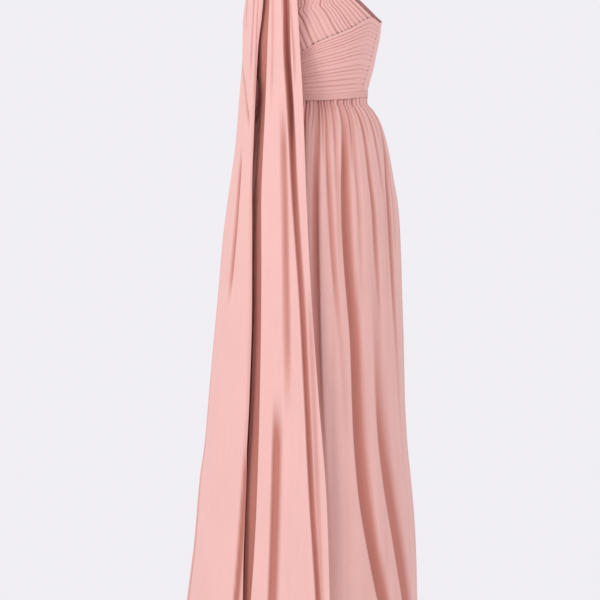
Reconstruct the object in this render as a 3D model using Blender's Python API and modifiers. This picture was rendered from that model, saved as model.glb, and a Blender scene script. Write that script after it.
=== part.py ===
"""One-shoulder evening dress in gathered chiffon, as worn, standing hollow.

Metres, +Z up. The front faces -Y and the wearer's left is +X. The origin is the
middle of the shoulder seam, where the wearer's right shoulder carries the dress.

Shapes are worked out on a general figure whose middle line is SHOULDER_OUT from the
origin. An angle is measured round that line from the centre front, positive towards
the wearer's left. A "reach" is how far to the wearer's left a point appears when the
dress is seen from VIEW_TURN round to that side; every cloth edge is laid out so.
"""
import math

import bmesh
import bpy
import numpy as np

WALL = 0.0012              # thickness of every cloth wall
SEAM_GAP = 0.0003          # room between two pieces that are sewn together
BAND_GAP = 0.0007          # the same over the waistband, where the bodice leans out
SHOULDER_OUT = 0.088       # from the figure's middle line to the shoulder seam's middle
VIEW_TURN = math.radians(8)

WAIST_Z = -0.350           # the waist seam at the centre front
SIDE_RISE = 0.008          # how much higher that seam runs at the sides
BAND_HEIGHT = 0.0135
HEM_Z = -1.500
DRAPE_HEM_Z = -1.470
UNDERARM_Z = -0.186

UPPER_PLEATS = 20          # fan out from the shoulder
WRAP_PLEATS = 15           # cross the front from the right side seam
BACK_PLEATS = 20
SKIRT_GATHERS = 60         # all round the waist
WRAP_COLUMNS = 22          # strips across the wrapped half,
WRAP_SEAM_COLUMNS = 20     # of which these meet the upper half's pleats

STRAP_NECK_REACH = -0.058  # the shoulder seam's end at the neck
STRAP_ARM_REACH = -0.118   # and its end at the arm

CHIFFON = (0.80, 0.44, 0.40)
CHIFFON_DEEP = (0.72, 0.36, 0.32)
CHIFFON_PALE = (0.84, 0.50, 0.46)

# height, half width, depth in front, depth behind
FIGURE = [
    (0.000, 0.152, 0.0006, 0.0006),
    (-0.004, 0.152, 0.012, 0.014),
    (-0.020, 0.152, 0.034, 0.038),
    (-0.050, 0.152, 0.060, 0.066),
    (-0.090, 0.152, 0.086, 0.088),
    (-0.135, 0.150, 0.108, 0.100),
    (-0.186, 0.1432, 0.127, 0.104),
    (-0.210, 0.1404, 0.130, 0.102),
    (-0.252, 0.132, 0.122, 0.098),
    (-0.284, 0.1255, 0.112, 0.096),
    (-0.318, 0.1160, 0.099, 0.0925),
    (-0.332, 0.1128, 0.095, 0.092),
    (-0.350, 0.1128, 0.095, 0.092),
]

SKIRT = [
    (-0.338, 0.1128, 0.095, 0.092),
    (-0.3545, 0.1130, 0.0952, 0.0922),
    (-0.369, 0.1250, 0.104, 0.101),
    (-0.395, 0.1404, 0.116, 0.117),
    (-0.4266, 0.151, 0.126, 0.129),
    (-0.476, 0.162, 0.139, 0.145),
    (-0.518, 0.169, 0.146, 0.154),
    (-0.561, 0.1766, 0.150, 0.160),
    (-0.603, 0.181, 0.152, 0.162),
    (-0.667, 0.184, 0.154, 0.164),
    (-0.773, 0.1872, 0.156, 0.166),
    (-0.860, 0.190, 0.158, 0.168),
    (-0.986, 0.1926, 0.163, 0.174),
    (-1.071, 0.197, 0.168, 0.180),
    (-1.156, 0.2053, 0.175, 0.189),
    (-1.2415, 0.2128, 0.182, 0.198),
    (-1.3266, 0.217, 0.188, 0.205),
    (-1.412, 0.219, 0.192, 0.210),
    (-1.500, 0.223, 0.198, 0.218),
]
RIGHT_EASE = 0.05          # share by which the skirt is slimmer under the drape

DRAPE = [
    (0.006, 0.128, 0.003, 0.003),
    (0.000, 0.131, 0.020, 0.018),
    (-0.010, 0.136, 0.040, 0.042),
    (-0.030, 0.140, 0.066, 0.070),
    (-0.060, 0.142, 0.092, 0.096),
    (-0.090, 0.144, 0.114, 0.116),
    (-0.135, 0.1460, 0.140, 0.134),
    (-0.186, 0.1510, 0.154, 0.140),
    (-0.2415, 0.1515, 0.158, 0.138),
    (-0.350, 0.1590, 0.156, 0.140),
    (-0.454, 0.1675, 0.168, 0.160),
    (-0.561, 0.1825, 0.180, 0.180),
    (-0.645, 0.1930, 0.185, 0.187),
    (-0.773, 0.2040, 0.190, 0.193),
    (-0.860, 0.2125, 0.193, 0.198),
    (-0.986, 0.2240, 0.200, 0.206),
    (-1.071, 0.2315, 0.205, 0.213),
    (-1.156, 0.2430, 0.211, 0.222),
    (-1.284, 0.2540, 0.221, 0.233),
    (-1.412, 0.2700, 0.228, 0.243),
    (-1.470, 0.2760, 0.232, 0.247),
]

# the seam between the two halves of the front bodice: reach, height
WRAP_SEAM = [
    (-0.1250, -0.281),
    (-0.0950, -0.273),
    (-0.0600, -0.262),
    (-0.0280, -0.248),
    (0.0130, -0.2245),
    (0.0550, -0.207),
    (0.0810, -0.195),
    (0.1020, -0.182),
    (0.1213, -0.172),
]

# share of the way down, angle in degrees, height
FRONT_ARMHOLE = [
    (0.00, -50.9, 0.000),
    (0.20, -49.0, -0.045),
    (0.45, -48.0, -0.110),
    (0.66, -60.0, -0.166),
    (0.84, -90.0, UNDERARM_Z),
    (1.00, -90.0, -0.281),
]
BACK_ARMHOLE = [
    (0.00, 230.9, 0.000),
    (0.20, 228.5, -0.050),
    (0.36, 229.0, -0.115),
    (0.47, 248.0, -0.166),
    (0.56, 270.0, UNDERARM_Z),
    (1.00, 270.0, -0.328),
]
LEFT_SEAM_ANGLES = (80.0, 70.0)      # the left side seam, at its top and at the waist
LEFT_SEAM_TOP_Z = -0.1835

# the skirt's large folds: angle in degrees at the heights of FOLD_HEIGHTS, depth in
# millimetres at the same heights, and width in millimetres to the right and to the left
FOLD_HEIGHTS = (-0.36, -0.60, -0.86, -1.16, -1.50)
SKIRT_FOLDS = [
    ((11, 9, 10, 14, 19), (3, 7, 5, 1, 0), 14, 7),
    ((17, 18, 24, 30, 36), (3, 5, 2, 0, 0), 9, 9),
    ((24, 24, 27, 30, 34), (3, 2, 0, 0, 0), 9, 9),
    ((33, 27, 32, 35, 52), (3, 10, 11, 12, 14), 7, 22),
    ((41, 39, 42, 45, 50), (3, 2, 0, 0, 0), 9, 9),
    ((52, 52, 56, 60, 64), (3, 5, 1, 0, 0), 12, 9),
    ((88, 70, 74, 80, 86), (3, 6, 3, 0, 0), 12, 10),
    ((46, 48, 50, 55, 74), (0, 0, 2, 8, 12), 9, 26),
    ((-14, -15, -16, -18, -22), (3, 7, 8, 9, 11), 16, 10),
    ((-34, -36, -38, -40, -44), (3, 6, 9, 11, 13), 10, 20),
    ((-60, -62, -64, -66, -68), (3, 6, 8, 9, 10), 18, 10),
    ((105, 106, 108, 112, 118), (3, 7, 9, 12, 15), 8, 24),
    ((124, 126, 130, 134, 138), (3, 6, 5, 2, 0), 14, 10),
    ((143, 145, 148, 152, 158), (3, 8, 10, 12, 14), 22, 9),
    ((168, 170, 172, 173, 176), (3, 6, 8, 10, 12), 12, 18),
    ((190, 191, 192, 194, 198), (3, 8, 6, 3, 0), 10, 14),
    ((207, 208, 210, 212, 215), (3, 7, 10, 12, 14), 22, 9),
    ((228, 230, 232, 234, 238), (3, 6, 4, 2, 0), 12, 12),
    ((247, 248, 248, 250, 252), (3, 6, 8, 10, 12), 10, 20),
]

# the drape's two falls: height, reach of the front fall's right and left edge, reach
# of its main fold, and reach of the side fall's front edge; the front fall's cloth
# runs on into the valley between the two, and is tucked under the side fall
FALL_EDGES = [
    (0.006, -0.0990, -0.0660, -0.0800, -0.1030),
    (-0.135, -0.0968, -0.0362, -0.0638, -0.1085),
    (-0.2415, -0.1010, -0.0298, -0.0617, -0.1191),
    (-0.350, -0.1053, -0.0234, -0.0553, -0.1255),
    (-0.561, -0.1134, -0.0160, -0.0440, -0.1319),
    (-0.773, -0.1138, -0.0053, -0.0290, -0.1319),
    (-0.967, -0.1170, 0.0085, -0.0190, -0.1370),
    (-1.200, -0.1234, 0.0266, -0.0074, -0.1479),
    (-1.327, -0.1300, 0.0309, 0.0010, -0.1500),
    (-1.412, -0.1362, 0.0330, 0.0064, -0.1511),
    (-1.470, -0.1400, 0.0340, 0.0100, -0.1530),
]
TUCK = 0.007               # how far the front fall is tucked under the side fall
SIDE_FALL_BACK_ANGLE = -148.0

# how deep the valley between the falls and the drape's main fold sink, by height
FALL_DEPTHS = [
    (0.006, 0.0, 0.0),
    (-0.010, 0.0, 0.0),
    (-0.030, 0.004, 0.004),
    (-0.060, 0.008, 0.008),
    (-0.135, 0.011, 0.016),
    (-0.210, 0.010, 0.018),
    (-0.290, 0.016, 0.022),
    (-0.350, 0.024, 0.024),
    (-0.500, 0.020, 0.013),
    (-0.700, 0.018, 0.009),
    (-1.470, 0.018, 0.009),
]
# folds of the side fall: angle in degrees at the top and at the hem, depth in
# millimetres at the same two heights, width in millimetres on each side
SIDE_FALL_FOLDS = [
    (-62, -58, 3, 8, 9, 16),
    (-80, -76, 2, 5, 10, 12),
    (-104, -102, 3, 9, 14, 9),
    (-126, -124, 3, 9, 9, 16),
]

UPPER_ROWS = (0.0, 0.03, 0.2, 0.42, 0.64, 0.84, 1.0)
BACK_ROWS = (0.0, 0.03, 0.16, 0.32, 0.46, 0.56, 0.72, 0.86, 0.965, 1.0)
SKIRT_ROW_HEIGHTS = (-0.3545, -0.371, -0.405, -0.465, -0.555, -0.68, -0.82, -0.98,
                     -1.15, -1.33, HEM_Z)
FALL_ROW_HEIGHTS = (0.006, 0.001, -0.008, -0.022, -0.045, -0.08, -0.14, -0.21, -0.30,
                    -0.40, -0.52, -0.66, -0.82, -1.00, -1.17, -1.33, DRAPE_HEM_Z)


def smooth_track(positions, values):
    """A curve through the values that never swings past them."""
    order = np.argsort(positions)
    where = np.asarray(positions, dtype=float)[order]
    level = np.asarray(values, dtype=float)[order]
    rise = np.diff(level) / np.diff(where)
    slope = np.zeros_like(level)
    slope[0], slope[-1] = rise[0], rise[-1]
    before, after = rise[:-1], rise[1:]
    same_way = before * after > 0
    total = np.where(same_way, before + after, 1.0)
    slope[1:-1] = np.where(same_way, 2 * before * after / total, 0.0)

    def at(position):
        x = np.clip(position, where[0], where[-1])
        i = np.clip(np.searchsorted(where, x, side="right") - 1, 0, len(where) - 2)
        step = where[i + 1] - where[i]
        t = (x - where[i]) / step
        return (level[i] * (1 + 2 * t) * (1 - t) ** 2 + level[i + 1] * t * t * (3 - 2 * t)
                + step * t * (1 - t) * (slope[i] * (1 - t) - slope[i + 1] * t))

    return at


def column_track(rows, column):
    return smooth_track([row[0] for row in rows], [row[column] for row in rows])


class Form:
    """A hollow body of oval sections, from a table of heights and half sizes."""

    def __init__(self, rows, right_ease=0.0):
        self.width = column_track(rows, 1)
        self.front = column_track(rows, 2)
        self.back = column_track(rows, 3)
        self.right_ease = right_ease

    def half_sizes(self, angle, z):
        """Half width and depth of the section that an angle in radians falls on."""
        hips = np.clip((WAIST_Z - z) / 0.1, 0.0, 1.0)
        ease = self.right_ease * hips * (0.5 - 0.5 * np.sin(angle))
        width = self.width(z) * (1 - ease)
        depth = np.where(np.cos(angle) > 0, self.front(z), self.back(z))
        return width, depth

    def points(self, angle, z, out=0.0):
        """Points on the form, moved out square to it by `out`."""
        width, depth = self.half_sizes(angle, z)
        across, along = width * np.sin(angle), -depth * np.cos(angle)
        lean = np.stack([np.sin(angle) * depth, -np.cos(angle) * width], axis=-1)
        lean /= np.linalg.norm(lean, axis=-1, keepdims=True)
        flat = np.stack([across, along], axis=-1) + lean * np.asarray(out)[..., None]
        return np.concatenate([flat, np.broadcast_to(z, angle.shape)[..., None]], axis=-1)

    def angle_at(self, reach, z):
        """The angle, in front, of a point that is seen at this reach."""
        along_x = self.width(z) * math.cos(VIEW_TURN)
        along_y = self.front(z) * math.sin(VIEW_TURN)
        radius = np.hypot(along_x, along_y)
        return np.arctan2(along_y, along_x) + np.arcsin(np.clip(reach / radius, -1, 1))


FIGURE_FORM = Form(FIGURE)
SKIRT_FORM = Form(SKIRT, RIGHT_EASE)
DRAPE_FORM = Form(DRAPE)


def waist_seam_z(angle):
    return WAIST_Z + SIDE_RISE * np.sin(angle) ** 2


def hump(distance, width_before, width_after):
    """1 in the middle of a fold, 0 past its width on either side."""
    width = np.where(distance < 0, width_before, width_after)
    t = np.clip(np.abs(distance) / width, 0, 1)
    return (1 - t * t) ** 2


def zigzag(u, count):
    """1 on each pleat's ridge and -1 in its valley; a ridge lies on both ends."""
    return np.cos(2 * math.pi * count * u)


def spread(start, end, share):
    return start + (end - start) * share


def patch(left, right, top, bottom, u, v):
    """A smooth sheet between four edges, each a function of its own share."""
    across = (1 - u)[..., None] * left(v) + u[..., None] * right(v)
    down = (1 - v)[..., None] * top(u) + v[..., None] * bottom(u)
    zero, one = np.zeros(1), np.ones(1)
    corners = ((1 - u) * (1 - v))[..., None] * top(zero) + (u * (1 - v))[..., None] * top(one)
    corners += ((1 - u) * v)[..., None] * bottom(zero) + (u * v)[..., None] * bottom(one)
    return across + down - corners


def edge_by_table(rows):
    """An edge of angle and height, from share, degrees and height."""
    angle, height = column_track(rows, 1), column_track(rows, 2)
    return lambda v: np.stack([np.radians(angle(v)), height(v)], axis=-1)


def wrap_seam_edge(u):
    """Angle and height along the seam where the wrapped half meets the upper one."""
    angles = [FIGURE_FORM.angle_at(reach, z) for reach, z in WRAP_SEAM]
    angles[0] = math.radians(-90)
    heights = [z for reach, z in WRAP_SEAM]
    shares = np.linspace(0, 1, len(WRAP_SEAM))
    nodes = np.linspace(0, 1, WRAP_SEAM_COLUMNS + 1)
    return np.stack([np.interp(u, nodes, smooth_track(shares, values)(nodes))
                     for values in (angles, heights)], axis=-1)


def front_neckline(v):
    """The straight slanting neckline, from the shoulder to the wrapped half's seam."""
    seam_reach, seam_z = WRAP_SEAM[-1]
    reach, z = spread(STRAP_NECK_REACH, seam_reach, v), spread(0.0, seam_z, v)
    return np.stack([FIGURE_FORM.angle_at(reach, z), z], axis=-1)


def shoulder_edge(u, turned=False):
    """The shoulder seam: from the arm to the neck in front, turned round behind."""
    ends = STRAP_ARM_REACH, STRAP_NECK_REACH
    reach = spread(ends[1], ends[0], u) if turned else spread(ends[0], ends[1], u)
    angle = np.arcsin(reach / FIGURE[0][1])
    return np.stack([math.pi - angle if turned else angle, np.zeros_like(u)], axis=-1)


def bodice_front_upper(u, v):
    """The half that hangs from the shoulder, pleated from the seam down."""
    lower = lambda share: wrap_seam_edge(share) + np.array([0.0, SEAM_GAP])
    angle, z = np.moveaxis(patch(edge_by_table(FRONT_ARMHOLE), front_neckline,
                                 shoulder_edge, lower, u, v), -1, 0)
    pitch = spread(0.06, 0.25, v) / (2 * UPPER_PLEATS)
    out = 0.2 * pitch * (zigzag(u, UPPER_PLEATS) - 1)
    return FIGURE_FORM.points(angle, np.minimum(z, -0.0002), out)


def wrap_top(u):
    """The wrapped half's upper edge: the seam, then the neckline to the side seam."""
    turn_share = WRAP_SEAM_COLUMNS / WRAP_COLUMNS
    along_seam = wrap_seam_edge(np.clip(u / turn_share, 0, 1)) - np.array([0.0, SEAM_GAP])
    end = np.array([math.radians(LEFT_SEAM_ANGLES[0]), LEFT_SEAM_TOP_Z])
    past = np.clip((u - turn_share) / (1 - turn_share), 0, 1)[..., None]
    return along_seam * (1 - past) + end * past


def wrap_bottom(u):
    angle = np.radians(spread(-90.0, LEFT_SEAM_ANGLES[1], u))
    return np.stack([angle, waist_seam_z(angle) + BAND_HEIGHT + BAND_GAP], axis=-1)


def straight_edge(start, end):
    return lambda v: spread(np.asarray(start), np.asarray(end), v[..., None])


def bodice_front_wrap(u, v):
    """The half that crosses the front, its pleats running from side to side."""
    one, zero = np.ones(1), np.zeros(1)
    right = straight_edge(wrap_top(zero)[0], wrap_bottom(zero)[0])
    left = straight_edge(wrap_top(one)[0], wrap_bottom(one)[0])
    angle, z = np.moveaxis(patch(right, left, wrap_top, wrap_bottom, u, v), -1, 0)
    pitch = spread(0.05, 0.155, u) / (2 * WRAP_PLEATS)
    out = 0.22 * pitch * (zigzag(v, WRAP_PLEATS) - 1)
    side_room = SEAM_GAP / 2 / FIGURE_FORM.width(z)
    return FIGURE_FORM.points(angle + side_room * (1 - 3 * u), z, out)


def back_left_edge(v):
    """The back's slanting neckline, then the left side seam."""
    turn_share = 0.56
    down = np.clip(v / turn_share, 0, 1)
    seam_top = math.radians(LEFT_SEAM_ANGLES[0])
    top_reach = FIGURE_FORM.width(LEFT_SEAM_TOP_Z) * math.sin(seam_top)
    lowered = np.sin(down * math.pi / 2)
    reach, z = spread(STRAP_NECK_REACH, top_reach, lowered), LEFT_SEAM_TOP_Z * lowered
    behind = math.pi - np.arcsin(np.clip(reach / FIGURE_FORM.width(z), -1, 1))
    past_side = np.clip((down - 0.75) / 0.25, 0, 1) ** 2
    angle = behind + (2 * seam_top - math.pi) * past_side
    below = np.clip((v - turn_share) / (1 - turn_share), 0, 1)
    waist_angle = math.radians(LEFT_SEAM_ANGLES[1])
    waist_z = waist_seam_z(waist_angle) + BAND_HEIGHT + BAND_GAP
    return np.stack([angle + (waist_angle - seam_top) * below,
                     z + (waist_z - LEFT_SEAM_TOP_Z) * below], axis=-1)


def back_bottom(u):
    angle = np.radians(spread(LEFT_SEAM_ANGLES[1], 270.0, u))
    return np.stack([angle, waist_seam_z(angle) + BAND_HEIGHT + BAND_GAP], axis=-1)


def bodice_back(u, v):
    """The back, pleated from the shoulder, with the plain left side under the arm."""
    top = lambda share: shoulder_edge(share, turned=True)
    angle, z = np.moveaxis(patch(back_left_edge, edge_by_table(BACK_ARMHOLE), top,
                                 back_bottom, u, v), -1, 0)
    pitch = spread(0.06, 0.38, v) / (2 * BACK_PLEATS)
    plain_side = 1 - np.clip((u - 0.30) / 0.25, 0, 1)
    pleats = (1 - plain_side * np.clip(v / 0.3, 0, 1)) * (zigzag(u, BACK_PLEATS) - 1)
    out = 0.14 * pitch * pleats
    side_room = SEAM_GAP / 2 / FIGURE_FORM.width(z)
    return FIGURE_FORM.points(angle + side_room * (1 - 2 * u), np.minimum(z, -0.0002), out)


def waistband(u, v):
    """The band round the waist, between the bodice and the skirt."""
    angle = 2 * math.pi * u
    z = waist_seam_z(angle) + BAND_HEIGHT * (1 - v)
    return FIGURE_FORM.points(angle, z, 0.0004)


def skirt_fold_depth(angle, z):
    """How far the large folds sink the skirt's cloth at each point."""
    width, depth = SKIRT_FORM.half_sizes(angle, z)
    radius = (width + depth) / 2
    sunk = np.zeros_like(angle)
    for angles, depths, width_before, width_after in SKIRT_FOLDS:
        middle = np.radians(smooth_track(FOLD_HEIGHTS, angles)(z))
        turn = np.mod(angle - middle + math.pi, 2 * math.pi) - math.pi
        fold = smooth_track(FOLD_HEIGHTS, depths)(z) * 0.001
        widen = spread(1.0, 1.7, np.clip((WAIST_Z - z) / 1.15, 0, 1))
        shape = hump(turn * radius, width_before * widen * 0.001, width_after * widen * 0.001)
        sunk = np.maximum(sunk, fold * shape)
    return sunk


def skirt_points(angle, v):
    """Skirt cloth: gathered into the band, falling in long uneven folds."""
    heights = np.array((0.0,) + SKIRT_ROW_HEIGHTS)
    row = v * (len(heights) - 1)
    z = np.interp(row, np.arange(len(heights)), heights)
    top = waist_seam_z(angle) - SEAM_GAP
    lifted = top + (SKIRT_ROW_HEIGHTS[0] + SEAM_GAP - WAIST_Z)
    z = np.where(row < 0.5, top, np.where(row < 1.5, lifted, z))
    fade = np.clip((z + 0.56) / 0.2, 0, 1)
    gathers = 0.0011 * fade * (np.cos(SKIRT_GATHERS * (angle + math.pi / 2)) - 1)
    seam = 1 - hump(np.cos(angle), 0.12, 0.12)
    return SKIRT_FORM.points(angle, z, gathers - seam * skirt_fold_depth(angle, z))


def skirt_front(u, v):
    room = SEAM_GAP / 2 / 0.11
    return skirt_points(spread(-math.pi / 2 + room, math.pi / 2 - room, u), v)


def skirt_back(u, v):
    room = SEAM_GAP / 2 / 0.11
    return skirt_points(spread(math.pi / 2 + room, math.pi * 1.5 - room, u), v)


def fall_height(v):
    heights = np.array(FALL_ROW_HEIGHTS)
    return np.interp(v * (len(heights) - 1), np.arange(len(heights)), heights)


def soft_step(distance, start, end):
    """0 before the start, 1 past the end, with soft ends."""
    t = np.clip((distance - start) / (end - start), 0, 1)
    return t * t * (3 - 2 * t)


def drape_front(u, v):
    """The fall in front: one broad fold laid over a strip, and a valley on its right."""
    z = fall_height(v)
    valley_edge, outer, main_fold, side_edge = [
        column_track(FALL_EDGES, column)(z) for column in (1, 2, 3, 4)]
    tuck = (TUCK + 0.004) * soft_step(-z, 0.0, 0.15) - 0.004
    reach = spread(side_edge - tuck, outer, u)
    valley = 1 - soft_step(reach - valley_edge, -0.004, 0.004)
    fold = hump(reach - main_fold, 0.005, 0.014)
    valley_depth, fold_depth = column_track(FALL_DEPTHS, 1)(z), column_track(FALL_DEPTHS, 2)(z)
    angle = DRAPE_FORM.angle_at(reach, z)
    return DRAPE_FORM.points(angle, z, -np.maximum(valley_depth * valley, fold_depth * fold))


def drape_side(u, v):
    """The fall over the right side, from behind the armhole round to the front fall."""
    z = fall_height(v)
    front_edge = DRAPE_FORM.angle_at(column_track(FALL_EDGES, 4)(z), z)
    angle = spread(math.radians(SIDE_FALL_BACK_ANGLE), front_edge, u)
    width, depth = DRAPE_FORM.half_sizes(angle, z)
    drop = np.clip(-z / 1.4, 0, 1)
    sink = np.zeros_like(angle)
    for at_top, at_hem, deep_top, deep_hem, before, after in SIDE_FALL_FOLDS:
        distance = (angle - np.radians(spread(at_top, at_hem, drop))) * (width + depth) / 2
        shape = hump(distance, 0.001 * before * (1 + drop), 0.001 * after * (1 + drop))
        sink = np.maximum(sink, 0.001 * spread(deep_top, deep_hem, drop) * shape)
    away_from_seam = np.clip(-z / 0.08, 0, 1)
    return DRAPE_FORM.points(angle, z, -sink * away_from_seam)


def cloth_material(name, colour):
    material = bpy.data.materials.new(name)
    material.use_nodes = True
    shader = material.node_tree.nodes["Principled BSDF"]
    shader.inputs["Base Color"].default_value = (*colour, 1.0)
    shader.inputs["Roughness"].default_value = 0.75
    shader.inputs["Metallic"].default_value = 0.0
    material.diffuse_color = (*colour, 1.0)
    return material


def cloth(collection, name, shape, columns, rows, colour, closed=False):
    """A sheet shaped by `shape`, from a flat grid, with the wall's thickness outside.

    `rows` is how many strips the sheet has from top to bottom, or their shares.
    """
    shares = np.linspace(0, 1, rows + 1) if isinstance(rows, int) else np.asarray(rows)
    grid = bmesh.new()
    bmesh.ops.create_grid(grid, x_segments=columns, y_segments=len(shares) - 1, size=0.5)
    flat = np.array([vertex.co for vertex in grid.verts])
    u = np.round((flat[:, 0] + 0.5) * columns) / columns
    v = shares[np.round((0.5 - flat[:, 1]) * (len(shares) - 1)).astype(int)]
    placed = shape(u, v) + np.array([SHOULDER_OUT, 0.0, 0.0])
    for vertex, point in zip(grid.verts, placed):
        vertex.co = point
    if closed:
        bmesh.ops.remove_doubles(grid, verts=grid.verts, dist=0.00001)
    mesh = bpy.data.meshes.new(name)
    grid.to_mesh(mesh)
    grid.free()
    mesh.materials.append(cloth_material(name, colour))
    mesh.shade_smooth()
    piece = bpy.data.objects.new(name, mesh)
    collection.objects.link(piece)
    wall = piece.modifiers.new("Wall", "SOLIDIFY")
    wall.thickness = WALL
    wall.offset = 1.0
    return piece


def main():
    for thing in list(bpy.data.objects):
        bpy.data.objects.remove(thing, do_unlink=True)
    dress = bpy.data.collections.new("one_shoulder_dress")
    bpy.context.scene.collection.children.link(dress)
    skirt_rows = len(SKIRT_ROW_HEIGHTS)
    fall_rows = len(FALL_ROW_HEIGHTS) - 1
    cloth(dress, "bodice_front_upper", bodice_front_upper, 2 * UPPER_PLEATS, UPPER_ROWS, CHIFFON)
    cloth(dress, "bodice_front_wrap", bodice_front_wrap, WRAP_COLUMNS, 2 * WRAP_PLEATS, CHIFFON)
    cloth(dress, "bodice_back", bodice_back, 2 * BACK_PLEATS, BACK_ROWS, CHIFFON_PALE)
    cloth(dress, "waistband", waistband, 72, 1, CHIFFON_DEEP, closed=True)
    cloth(dress, "skirt_front", skirt_front, SKIRT_GATHERS, skirt_rows, CHIFFON)
    cloth(dress, "skirt_back", skirt_back, SKIRT_GATHERS, skirt_rows, CHIFFON)
    cloth(dress, "drape_front", drape_front, 24, fall_rows, CHIFFON_PALE)
    cloth(dress, "drape_side", drape_side, 26, fall_rows, CHIFFON_PALE)


main()
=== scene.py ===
"""The looks of a one-shoulder chiffon evening dress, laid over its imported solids."""
import math

import bmesh
import bpy
import numpy as np
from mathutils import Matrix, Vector


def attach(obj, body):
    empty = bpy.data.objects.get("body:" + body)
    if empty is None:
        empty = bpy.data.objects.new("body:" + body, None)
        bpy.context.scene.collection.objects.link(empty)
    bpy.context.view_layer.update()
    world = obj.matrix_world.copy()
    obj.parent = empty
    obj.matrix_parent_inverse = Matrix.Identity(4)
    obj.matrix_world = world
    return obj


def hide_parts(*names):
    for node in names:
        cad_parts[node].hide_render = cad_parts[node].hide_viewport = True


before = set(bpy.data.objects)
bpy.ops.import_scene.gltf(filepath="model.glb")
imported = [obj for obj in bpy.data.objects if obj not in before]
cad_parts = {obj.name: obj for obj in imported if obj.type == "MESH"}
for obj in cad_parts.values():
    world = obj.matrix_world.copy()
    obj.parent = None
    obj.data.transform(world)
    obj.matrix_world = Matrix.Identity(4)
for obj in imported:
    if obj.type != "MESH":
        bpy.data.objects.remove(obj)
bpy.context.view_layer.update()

CAD_WALL = 0.0012          # the solids' wall, whose outer side the cloth follows
CLOTH = 0.0006             # thickness of the chiffon with its lining
SEAM_GAP = 0.0003
SHOULDER_OUT = 0.088       # from the figure's middle line to the shoulder seam's middle
VIEW_TURN = math.radians(8)

WAIST_Z = -0.350
SIDE_RISE = 0.008
BAND_HEIGHT = 0.0135
BAND_STAND_OFF = 0.0012    # how far the band stands off the bodice's cloth
WAIST_RADIUS = 0.11
HEM_Z = -1.500
DRAPE_HEM_Z = -1.470
UNDERARM_Z = -0.186
STRAP_NECK_REACH = -0.058
STRAP_ARM_REACH = -0.118

# the photograph: metres across the picture, and where its middle lies
PHOTO_PIXELS = 600
PIXELS_PER_METRE = 470
MIDDLE_REACH = -0.0298
MIDDLE_Z = -0.773
CAMERA_DISTANCE = 25.0
PAPER = (0.875, 0.860, 0.900)      # the pale backdrop, even from edge to edge

# height, half width, depth in front, depth behind
FIGURE = [
    (0.000, 0.152, 0.0006, 0.0006),
    (-0.004, 0.152, 0.012, 0.014),
    (-0.020, 0.152, 0.034, 0.038),
    (-0.050, 0.152, 0.060, 0.066),
    (-0.090, 0.152, 0.086, 0.088),
    (-0.135, 0.150, 0.108, 0.100),
    (-0.186, 0.1432, 0.127, 0.104),
    (-0.210, 0.1404, 0.130, 0.102),
    (-0.252, 0.132, 0.122, 0.098),
    (-0.284, 0.1255, 0.112, 0.096),
    (-0.318, 0.1160, 0.099, 0.0925),
    (-0.332, 0.1128, 0.095, 0.092),
    (-0.350, 0.1128, 0.095, 0.092),
]

SKIRT = [
    (-0.338, 0.1128, 0.095, 0.092),
    (-0.3545, 0.1130, 0.0952, 0.0922),
    (-0.369, 0.1250, 0.104, 0.101),
    (-0.395, 0.1404, 0.116, 0.117),
    (-0.4266, 0.151, 0.126, 0.129),
    (-0.476, 0.162, 0.139, 0.145),
    (-0.518, 0.169, 0.146, 0.154),
    (-0.561, 0.1766, 0.150, 0.160),
    (-0.603, 0.181, 0.152, 0.162),
    (-0.667, 0.184, 0.154, 0.164),
    (-0.773, 0.1872, 0.156, 0.166),
    (-0.860, 0.190, 0.158, 0.168),
    (-0.986, 0.1926, 0.163, 0.174),
    (-1.071, 0.197, 0.168, 0.180),
    (-1.156, 0.2053, 0.175, 0.189),
    (-1.2415, 0.2128, 0.182, 0.198),
    (-1.3266, 0.217, 0.188, 0.205),
    (-1.412, 0.219, 0.192, 0.210),
    (-1.500, 0.223, 0.198, 0.218),
]
RIGHT_EASE = 0.05

DRAPE = [
    (0.006, 0.128, 0.003, 0.003),
    (0.000, 0.131, 0.020, 0.018),
    (-0.010, 0.136, 0.040, 0.042),
    (-0.030, 0.140, 0.066, 0.070),
    (-0.060, 0.142, 0.092, 0.096),
    (-0.090, 0.144, 0.114, 0.116),
    (-0.135, 0.1460, 0.140, 0.134),
    (-0.186, 0.1510, 0.154, 0.140),
    (-0.2415, 0.1515, 0.158, 0.138),
    (-0.350, 0.1590, 0.156, 0.140),
    (-0.454, 0.1675, 0.168, 0.160),
    (-0.561, 0.1825, 0.180, 0.180),
    (-0.645, 0.1930, 0.185, 0.187),
    (-0.773, 0.2040, 0.190, 0.193),
    (-0.860, 0.2125, 0.193, 0.198),
    (-0.986, 0.2240, 0.200, 0.206),
    (-1.071, 0.2315, 0.205, 0.213),
    (-1.156, 0.2430, 0.211, 0.222),
    (-1.284, 0.2540, 0.221, 0.233),
    (-1.412, 0.2700, 0.228, 0.243),
    (-1.470, 0.2760, 0.232, 0.247),
]

# the seam between the two halves of the front bodice: reach, height
WRAP_SEAM = [
    (-0.1250, -0.281),
    (-0.0950, -0.273),
    (-0.0600, -0.262),
    (-0.0280, -0.248),
    (0.0130, -0.2245),
    (0.0550, -0.207),
    (0.0810, -0.195),
    (0.1020, -0.182),
    (0.1213, -0.172),
]
WRAP_SEAM_SHARE = 20 / 22  # how much of the wrapped half's upper edge that seam is

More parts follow.
